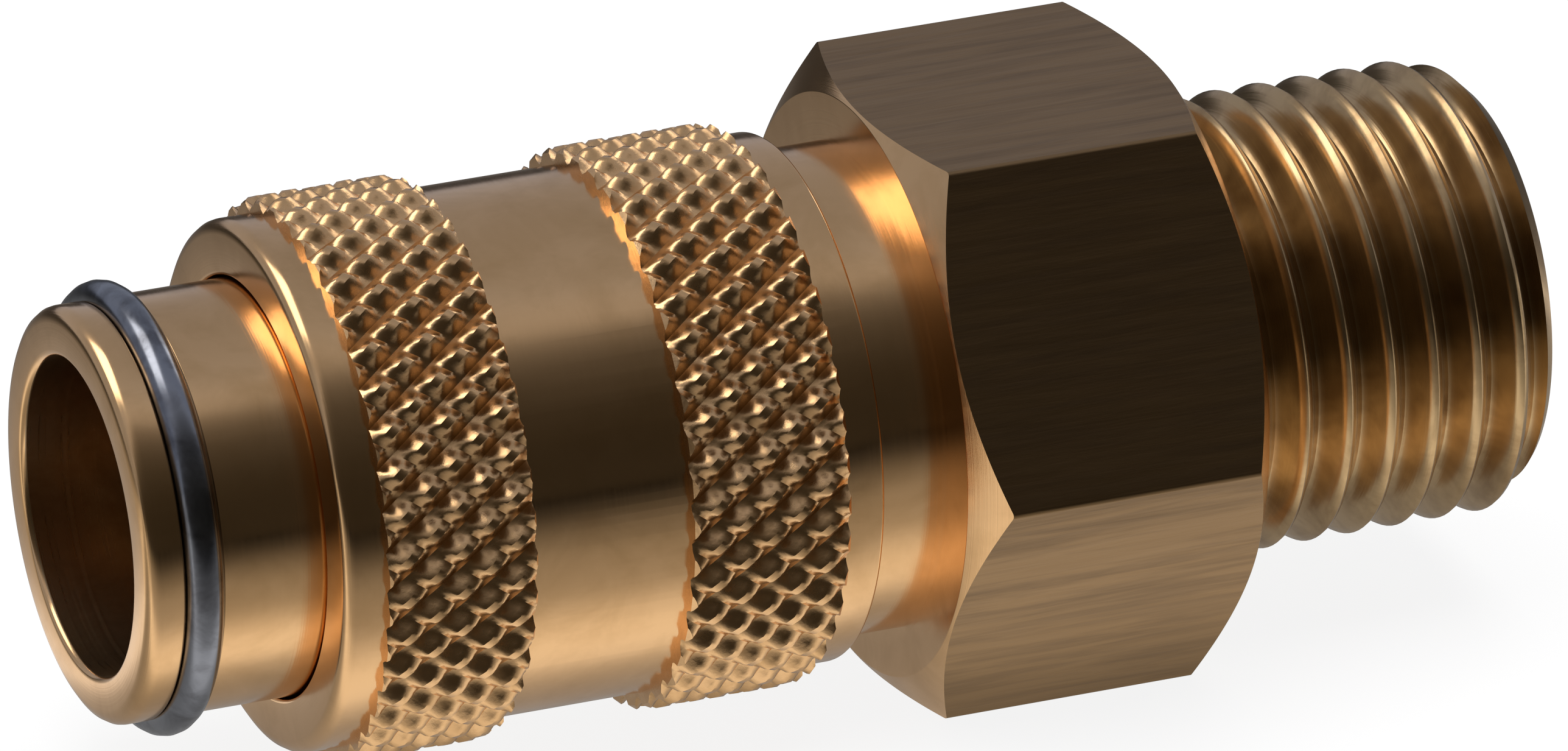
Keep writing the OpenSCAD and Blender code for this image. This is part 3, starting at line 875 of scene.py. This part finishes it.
class COUPLING_OT_adapter(bpy.types.Operator):
    """Build the hexagon with its threaded end and its spigot"""

    bl_idname = "coupling.adapter"
    bl_label = "Adapter"

    def execute(self, context):
        given = sizes(context.scene.body_sizes)
        front, rear, _ = span("adapter_body")
        hex_front = span("socket_body")[1]
        hex_rear = hex_front + given["hex_length"]
        adapter = self.hexagon(given, hex_front, hex_rear)
        edge, lead_in, thread_wall = 0.12, 0.3, 1.2
        spigot = turned("spigot", [
            (front, 0), (front, given["spigot_r"], edge),
            (hex_front + 1, given["spigot_r"]), (hex_front + 1, 0),
        ])
        combine(adapter, spigot, "UNION")
        combine(adapter, self.thread(given, hex_rear, rear), "UNION")
        bore = turned("bore", [
            (front - 1, 0),
            (front - 1, given["spigot_bore_r"]),
            (given["outlet_x"], given["spigot_bore_r"]),
            (given["outlet_x"], given["outlet_r"]),
            (rear - lead_in, given["outlet_r"]),
            (rear, given["outlet_r"] + lead_in),
            (rear + 1, given["outlet_r"] + lead_in),
            (rear + 1, 0),
        ])
        combine(adapter, bore, "DIFFERENCE")
        finishes = ("turned brass", "drawn brass", "cut thread brass")
        finish_piece(adapter, *(bpy.data.materials[name] for name in finishes))
        reach = (given["thread_r"] + 0.1) * MM
        thread_x = NOSE_X + (hex_rear + 0.02) * MM
        for face in adapter.data.polygons:
            radius = math.hypot(face.center.y, face.center.z - AXIS_Z)
            if radius > reach:
                face.material_index = int(abs(face.normal.x) < 0.01)
            elif face.center.x > thread_x and radius > reach - thread_wall * MM:
                face.material_index = 2
        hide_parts("adapter_body")
        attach(adapter, "coupling_body")
        return {"FINISHED"}

    def hexagon(self, given, front, rear):
        """Hexagonal bar with rounded long edges, chamfered at both ends on a lathe."""
        corner_r = given["across_flats"] / math.sqrt(3)
        face_share, edge = 0.99, 0.06
        face_r = face_share * given["across_flats"] / 2
        slope = (corner_r - face_r) / given["hex_chamfer"]
        over = 0.5
        work = bmesh.new()
        bmesh.ops.create_cone(
            work, cap_ends=True, segments=6, radius1=corner_r, radius2=corner_r, depth=rear - front
        )
        long_edges = [
            edge for edge in work.edges if abs(edge.verts[0].co.z - edge.verts[1].co.z) > 1
        ]
        bmesh.ops.bevel(
            work, geom=long_edges, offset=given["hex_edge"], segments=3, affect="EDGES", profile=0.5
        )
        mesh = bpy.data.meshes.new("hexagon")
        work.to_mesh(mesh)
        work.free()
        upright = Matrix.Rotation(math.radians(90), 4, "Y")
        mesh.transform(Matrix.Translation(((front + rear) / 2, 0, 0)) @ upright)
        point_outwards(mesh)
        bar = new_object("coupling_adapter", mesh)
        cone = turned("cone", [
            (front, 0),
            (front, face_r, edge),
            (front + given["hex_chamfer"] + over / slope, corner_r + over),
            (rear - given["hex_chamfer"] - over / slope, corner_r + over),
            (rear, face_r, edge),
            (rear, 0),
        ], facets=2 * FACETS)
        return combine(bar, cone, "INTERSECT")

    def thread(self, given, start, end):
        """Screw thread from the hexagon to the end face, with its lead-in chamfer."""
        pitch, crest_r = given["thread_pitch"], given["thread_r"]
        turns = math.ceil((end - start) / pitch) + 2
        round_points, section_points, overlap, edge = 96, 13, 0.3, 0.08
        swept = grow(
            "swept", thread_tree(), start=start - 1.5 * pitch, turns=float(turns), pitch=pitch,
            root=crest_r - given["thread_depth"], depth=given["thread_depth"],
            along=turns * round_points + 1, across=section_points,
        )
        capped(swept)
        trim = turned("trim", [
            (start - overlap, 0),
            (start - overlap, crest_r + PAST),
            (end - given["thread_chamfer"], crest_r + PAST),
            (end, crest_r - given["thread_chamfer"], edge),
            (end, 0),
        ])
        return combine(swept, trim, "INTERSECT")


class COUPLING_OT_wires(bpy.types.Operator):
    """Wind the snap ring and the two springs"""

    bl_idname = "coupling.wires"
    bl_label = "Snap Ring and Springs"

    def execute(self, context):
        given = sizes(context.scene.body_sizes)
        springs = sizes(context.scene.spring_sizes)
        tree = coil_tree()
        gap, gap_middle = 14 / 360, 60 / 360
        points_per_turn, pressed = 48, 1.08
        self.wind(
            tree, "snap_ring", "stop_ring", "ring_steel", turns=1 - gap, wire=2 * given["wire_r"],
            close=0.0, open=0.0, points=3 * points_per_turn,
            first_turn=gap_middle + gap / 2,
        )
        coils = (
            ("sleeve_spring", "coil_of_sleeve", "sleeve"),
            ("valve_spring", "coil_of_valve", "valve"),
        )
        for node, piece, key in coils:
            turns, wire = springs[key + "_turns"], springs[key + "_wire"]
            front, rear, _ = span(node)
            close = pressed * wire
            opened = (rear - front - wire - 2 * close) / (turns - 2)
            self.wind(
                tree, node, piece, "spring_steel", turns=turns, wire=wire, close=close,
                open=opened, points=int(turns * points_per_turn), first_turn=0.25,
            )
        return {"FINISHED"}

    def wind(self, tree, node, name, slot, wire, **values):
        """Winds one wire piece in the place of its CAD node."""
        front, _, outer = span(node)
        piece = grow(
            name, tree, start=front + wire / 2, wire_r=wire / 2, coil_r=outer - wire / 2, sides=16,
            **values,
        )
        finish_piece(piece, bpy.data.materials["spring wire"])
        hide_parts(node)
        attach(piece, "coupling_body")


class COUPLING_OT_inner_finish(bpy.types.Operator):
    """Give the balls, the valve and the seals their materials"""

    bl_idname = "coupling.inner_finish"
    bl_label = "Inner Pieces"

    def execute(self, context):
        seals = ("valve_seal", "plug_seal", "body_seal")
        balls = [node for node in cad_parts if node.startswith("locking_ball")]
        finish_of = {"valve_piston": "turned brass"}
        finish_of.update({node: "nitrile rubber" for node in seals})
        finish_of.update({node: "bearing steel" for node in balls})
        for node, material in finish_of.items():
            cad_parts[node].data.materials.clear()
            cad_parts[node].data.materials.append(bpy.data.materials[material])
        return {"FINISHED"}


class COUPLING_OT_materials(bpy.types.Operator):
    """Make the metals and the rubber"""

    bl_idname = "coupling.materials"
    bl_label = "Materials"

    def execute(self, context):
        makers = (
            turned_brass, thread_brass_painted_shade, bored_brass, knurled_brass, drawn_brass, wire_steel,
            polished_steel, nitrile_rubber,
        )
        for make in makers:
            make(context.scene.finishes)
        return {"FINISHED"}


class COUPLING_OT_stage(bpy.types.Operator):
    """Set the floor, the lamps, the surroundings and the camera"""

    bl_idname = "coupling.stage"
    bl_label = "Stage"

    def execute(self, context):
        context.scene.view_settings.view_transform = "Standard"
        self.camera(context.scene)
        self.floor(context.scene.finishes)
        self.surroundings(context.scene)
        # Direction from the coupling, distance and size in metres, and radiance. The sky only
        # whitens the floor, so metal doesn't show it.
        self.lamp("key", (-0.5, 0.36, 0.79), 0.55, 0.34, 2.6)
        self.lamp("rim", (0.75, 0.45, 0.48), 0.6, 0.2, 1.6)
        self.lamp("sky", (0, 0, 1), 1.0, 1.0, 4.6).visible_glossy = False
        return {"FINISHED"}

    def camera(self, scene):
        """Long lens, looking down on the nose from the left."""
        azimuth, elevation, distance = math.radians(21.937), math.radians(24.989), 0.53945
        target = Vector((NOSE_X + 21.345 * MM, 0, AXIS_Z + 0.655 * MM))
        back = Vector((
            -math.sin(azimuth) * math.cos(elevation),
            -math.cos(azimuth) * math.cos(elevation),
            math.sin(elevation),
        ))
        data = bpy.data.cameras.new("camera")
        data.lens, data.sensor_width = 437.27, 36
        data.clip_start, data.clip_end = 0.01, 20
        camera = bpy.data.objects.new("camera", data)
        scene.collection.objects.link(camera)
        camera.location = target + back * distance
        camera.rotation_euler = (-back).to_track_quat("-Z", "Y").to_euler()
        scene.camera = camera

    def lamp(self, name, direction, distance, size, radiance):
        """Square soft box that faces the coupling from a direction."""
        middle = Vector((0, 0, AXIS_Z))
        data = bpy.data.lights.new(name, "AREA")
        data.shape, data.size = "SQUARE", size
        data.energy = radiance * math.pi * size * size
        lamp = bpy.data.objects.new(name, data)
        bpy.context.scene.collection.objects.link(lamp)
        lamp.location = middle + Vector(direction).normalized() * distance
        lamp.rotation_euler = (middle - lamp.location).to_track_quat("-Z", "Y").to_euler()
        return lamp

    def floor(self, finishes):
        """White floor that keeps a faint shadow, and shows in metal as a painted pool of light,
        with a painted shadow under the coupling.
        """
        work = bmesh.new()
        radius, below = 1.5, 0.02 * MM
        bmesh.ops.create_circle(work, cap_ends=True, radius=radius, segments=64)
        mesh = bpy.data.meshes.new("floor")
        work.to_mesh(mesh)
        work.free()
        floor = new_object("floor", mesh)
        floor.data.transform(Matrix.Translation((0, 0, CAD_LOW.z - below)))
        material = bpy.data.materials.new("floor paper")
        material.use_nodes = True
        tree = material.node_tree
        tree.nodes.clear()
        path = add_node(tree, "ShaderNodeLightPath").outputs
        paper = add_node(tree, "ShaderNodeBsdfDiffuse", {"Color": (*finishes.floor, 1)}).outputs[0]
        place = add_node(tree, "ShaderNodeTexCoord").outputs["Object"]
        away = calc(tree, "ABSOLUTE", calc(tree, "DIVIDE", split(tree, place)[1], MM))
        # Seen in metal the floor is painted light: a painted pool of light that fades with distance
        # from the axis, dimmest right under the coupling as a painted shadow of it.
        pool_reach, glow = 100, 0.88
        pool = add_node(tree, "ShaderNodeFloatCurve", {1: calc(tree, "DIVIDE", away, pool_reach)})
        self.shape(pool.mapping.curves[0], (
            (0, 0.3), (0.035, 0.36), (0.053, 0.5), (0.066, 0.75), (0.082, 0.97), (0.1, 0.88),
            (0.126, 0.62), (0.165, 0.4), (0.23, 0.33), (0.35, 0.21), (0.7, 0.07), (1, 0.04),
        ))
        shown = add_node(tree, "ShaderNodeEmission", {"Strength": pool.outputs[0]}).outputs[0]
        white = add_node(tree, "ShaderNodeEmission").outputs[0]
        seen = add_node(tree, "ShaderNodeMixShader", {0: glow, 1: paper, 2: white}).outputs[0]
        direct = add_node(
            tree, "ShaderNodeMixShader", {0: path["Is Camera Ray"], 1: paper, 2: seen}
        ).outputs[0]
        glossy = calc(tree, "MAXIMUM", path["Is Glossy Ray"], path["Is Transmission Ray"])
        whole = add_node(tree, "ShaderNodeMixShader", {0: glossy, 1: direct, 2: shown}).outputs[0]
        add_node(tree, "ShaderNodeOutputMaterial", {0: whole})
        floor.data.materials.append(material)

    def shape(self, curve, points):
        """Gives a curve node these points."""
        for x, y in points[1:-1]:
            curve.points.new(x, y)
        curve.points[0].location = points[0]
        curve.points[-1].location = points[-1]

    def surroundings(self, scene):
        """Dark room in front, a bright band overhead and a dimmer wall behind."""
        world = bpy.data.worlds.new("room")
        scene.world = world
        world.use_nodes = True
        tree = world.node_tree
        tree.nodes.clear()
        path = add_node(tree, "ShaderNodeLightPath").outputs
        towards = add_node(tree, "ShaderNodeTexCoord").outputs["Generated"]
        parts = split(tree, towards)
        forwards = calc(tree, "MULTIPLY", parts[1], -1)
        turn = calc(tree, "DIVIDE", calc(tree, "ARCTAN2", parts[2], forwards), math.pi)
        bands = add_node(tree, "ShaderNodeFloatCurve", {1: turn})
        self.shape(bands.mapping.curves[0], (
            (0, 0.035), (0.17, 0.04), (0.24, 0.06), (0.31, 0.1), (0.37, 0.21), (0.435, 0.44),
            (0.52, 0.39), (0.66, 0.34), (0.8, 0.34), (1, 0.42),
        ))
        height = add_node(
            tree, "ShaderNodeMapRange", {"Value": turn, "From Min": 0.15, "From Max": 0.5}
        ).outputs[0]
        tint = add_node(
            tree, "ShaderNodeMix",
            {0: height, 6: (1, 0.93, 0.8, 1), 7: (0.9, 0.98, 1.2, 1)}, data_type="RGBA",
        ).outputs[2]
        room = add_node(
            tree, "ShaderNodeBackground", {"Color": tint, "Strength": bands.outputs[0]}
        ).outputs[0]
        white = add_node(tree, "ShaderNodeBackground").outputs[0]
        whole = add_node(
            tree, "ShaderNodeMixShader", {0: path["Is Camera Ray"], 1: room, 2: white}
        ).outputs[0]
        add_node(tree, "ShaderNodeOutputWorld", {0: whole})


class COUPLING_PT_panel(bpy.types.Panel):
    """Buttons that build the coupling"""

    bl_label = "Quick Coupling"
    bl_idname = "COUPLING_PT_panel"
    bl_space_type = "VIEW_3D"
    bl_region_type = "UI"
    bl_category = "Coupling"

    def draw(self, context):
        for step in STEPS:
            self.layout.operator(step.bl_idname)
        for name in GROUPS:
            group = getattr(context.scene, name)
            for key in group.__annotations__:
                self.layout.prop(group, key)


GROUPS = {
    "sleeve_sizes": SleeveSizes,
    "body_sizes": BodySizes,
    "spring_sizes": SpringSizes,
    "finishes": Finishes,
}
STEPS = (
    COUPLING_OT_stage,
    COUPLING_OT_materials,
    COUPLING_OT_socket_body,
    COUPLING_OT_adapter,
    COUPLING_OT_sleeve,
    COUPLING_OT_wires,
    COUPLING_OT_inner_finish,
)
CLASSES = (*GROUPS.values(), *STEPS, COUPLING_PT_panel)


def register():
    for item in CLASSES:
        bpy.utils.register_class(item)
    for name, group in GROUPS.items():
        setattr(bpy.types.Scene, name, bpy.props.PointerProperty(type=group))


def unregister():
    for name in GROUPS:
        delattr(bpy.types.Scene, name)
    for item in reversed(CLASSES):
        bpy.utils.unregister_class(item)


def main():
    register()
    for step in STEPS:
        area, _, name = step.bl_idname.partition(".")
        getattr(getattr(bpy.ops, area), name)()


if __name__ == "__main__":
    main()
